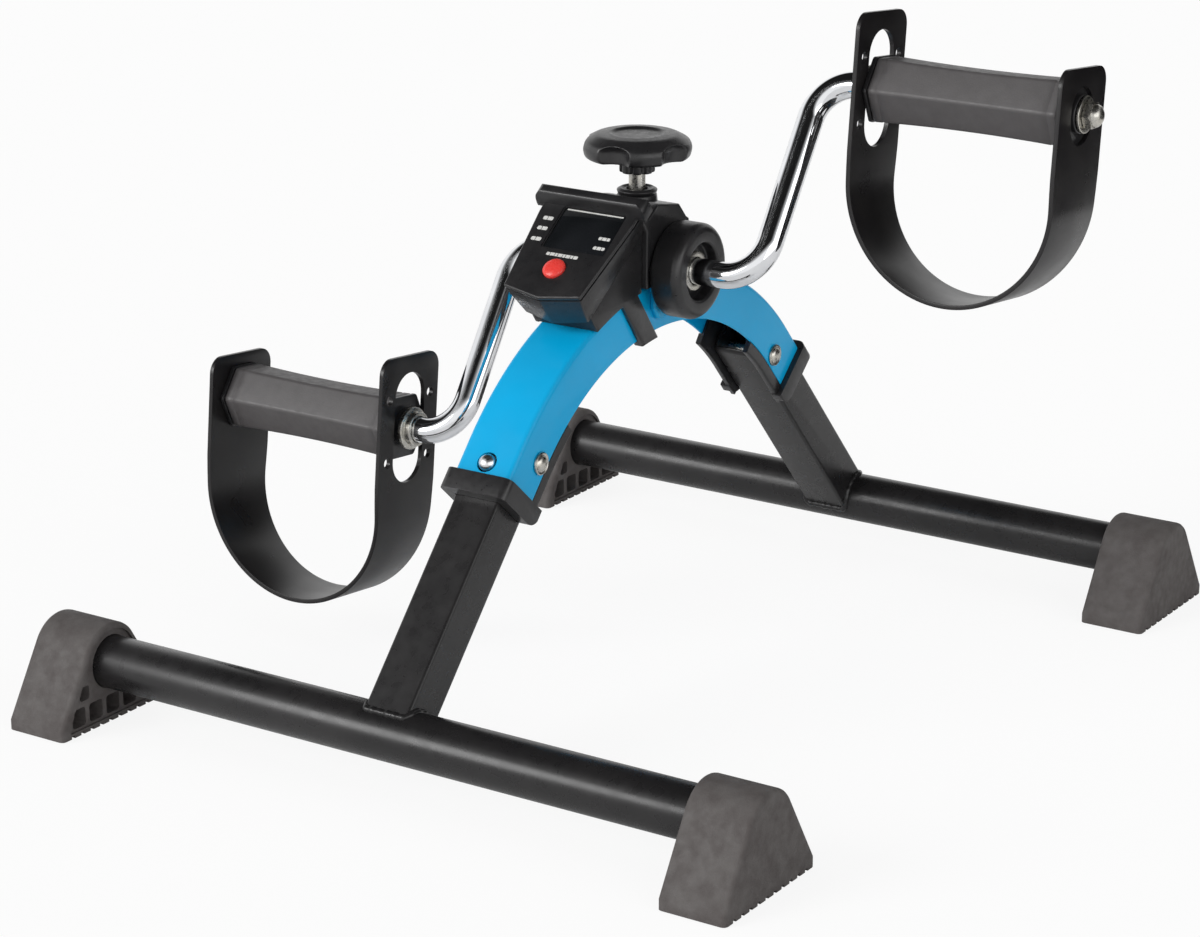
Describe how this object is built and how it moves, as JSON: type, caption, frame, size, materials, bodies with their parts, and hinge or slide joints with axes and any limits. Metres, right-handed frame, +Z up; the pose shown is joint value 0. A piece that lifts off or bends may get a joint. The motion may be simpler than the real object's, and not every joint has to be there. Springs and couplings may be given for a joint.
{
  "type": "pedal exerciser",
  "caption": "Floor-standing pedal exerciser: a bent channel on folding legs carries a cranked shaft with strapped pedals, a tension knob and a small tilted display.",
  "frame": {"origin": "floor level, at the middle of the box round the whole object", "axes": "+X along the rails and the crank shaft, towards the right pedal; -Y towards the user, whom the display faces; +Z up"},
  "size_m": [0.4292, 0.478, 0.326],
  "materials": {
    "blue_paint": "gloss",
    "black_powder_coat": "satin",
    "chrome_rod": "polished",
    "zinc_plate": "satin",
    "black_plastic": "satin",
    "foot_rubber": "matte",
    "grey_tread": "satin",
    "strap_plastic": "matte",
    "white_nylon": "matte",
    "red_button": "gloss",
    "lcd_glass": "gloss",
    "lcd_grey": "matte",
    "board_green": "matte",
    "spring_steel": "satin",
    "brake_felt": "matte"
  },
  "bodies": {
    "frame": {"arch_channel": "blue_paint", "axle_bracket": "blue_paint", "front_liner": "black_plastic", "rear_liner": "black_plastic", "front_hinge_pin": "zinc_plate", "rear_hinge_pin": "zinc_plate", "left_axle_bush": "white_nylon", "right_axle_bush": "white_nylon", "left_bearing_cup": "black_plastic", "right_bearing_cup": "black_plastic", "tension_nut": "zinc_plate", "screw_grommet": "black_plastic", "crown_cover": "black_plastic", "display_case": "black_plastic", "display_bezel": "black_plastic", "lcd_window": "lcd_glass", "lcd_module": "lcd_grey", "circuit_board": "board_green", "button_cell": "zinc_plate", "reed_sensor": "black_plastic"},
    "front_leg": {"front_leg_tube": "black_powder_coat", "front_rail": "black_powder_coat", "front_left_foot": "foot_rubber", "front_right_foot": "foot_rubber"},
    "front_snap": {"front_snap_clip": "spring_steel"},
    "rear_leg": {"rear_leg_tube": "black_powder_coat", "rear_rail": "black_powder_coat", "rear_left_foot": "foot_rubber", "rear_right_foot": "foot_rubber"},
    "rear_snap": {"rear_snap_clip": "spring_steel"},
    "crank": {"axle_sleeve": "zinc_plate", "magnet_ring": "black_plastic", "left_crank": "chrome_rod", "left_roll_pin": "zinc_plate", "left_axle_washer": "zinc_plate", "left_rod_collar": "zinc_plate", "left_end_washer": "zinc_plate", "left_cap_nut": "zinc_plate", "right_crank": "chrome_rod", "right_roll_pin": "zinc_plate", "right_axle_washer": "zinc_plate", "right_rod_collar": "zinc_plate", "right_end_washer": "zinc_plate", "right_cap_nut": "zinc_plate"},
    "left_pedal": {"left_tread": "grey_tread", "left_inner_plug": "black_plastic", "left_outer_plug": "black_plastic", "left_strap": "strap_plastic"},
    "right_pedal": {"right_tread": "grey_tread", "right_inner_plug": "black_plastic", "right_outer_plug": "black_plastic", "right_strap": "strap_plastic"},
    "brake": {"brake_shoe": "brake_felt"},
    "knob": {"tension_knob": "black_plastic", "knob_screw": "zinc_plate"},
    "button": {"mode_button": "red_button"}
  },
  "joints": [
    {"name": "crank_spin", "type": "hinge", "parent": "frame", "child": "crank", "pos_m": [0, 0, 0.2025], "axis": [1, 0, 0], "continuous": true},
    {"name": "left_pedal_spin", "type": "hinge", "parent": "crank", "child": "left_pedal", "pos_m": [-0.151, -0.05277, 0.11638], "axis": [-1, 0, 0], "continuous": true},
    {"name": "right_pedal_spin", "type": "hinge", "parent": "crank", "child": "right_pedal", "pos_m": [0.151, 0.05277, 0.28862], "axis": [-1, 0, 0], "continuous": true},
    {"name": "brake_slide", "type": "slide", "parent": "frame", "child": "brake", "axis": [0, 0, 1], "range_m": [0, 0.00375]},
    {"name": "knob_turn", "type": "hinge", "parent": "brake", "child": "knob", "pos_m": [0, 0, 0.243], "axis": [0, 0, 1], "range_deg": [0, 1080]},
    {"name": "front_leg_fold", "type": "hinge", "parent": "frame", "child": "front_leg", "pos_m": [0, -0.10546, 0.13248], "axis": [1, 0, 0], "range_deg": [0, 58]},
    {"name": "rear_leg_fold", "type": "hinge", "parent": "frame", "child": "rear_leg", "pos_m": [0, 0.10546, 0.13248], "axis": [-1, 0, 0], "range_deg": [0, 58]},
    {"name": "front_snap_press", "type": "slide", "parent": "front_leg", "child": "front_snap", "axis": [0, 0.7431, -0.6691], "range_m": [0, 0.005], "stiffness_N_per_m": 1500, "deforming": ["front_snap_clip"]},
    {"name": "rear_snap_press", "type": "slide", "parent": "rear_leg", "child": "rear_snap", "axis": [0, -0.7431, -0.6691], "range_m": [0, 0.005], "stiffness_N_per_m": 1500, "deforming": ["rear_snap_clip"]},
    {"name": "mode_button_press", "type": "slide", "parent": "frame", "child": "button", "axis": [0, 0.5878, -0.809], "range_m": [0, 0.0012], "stiffness_N_per_m": 800}
  ],
  "couplings": [
    {"joint": "knob_turn", "follows": "brake_slide", "rad_per_m": 5026.5}
  ]
}
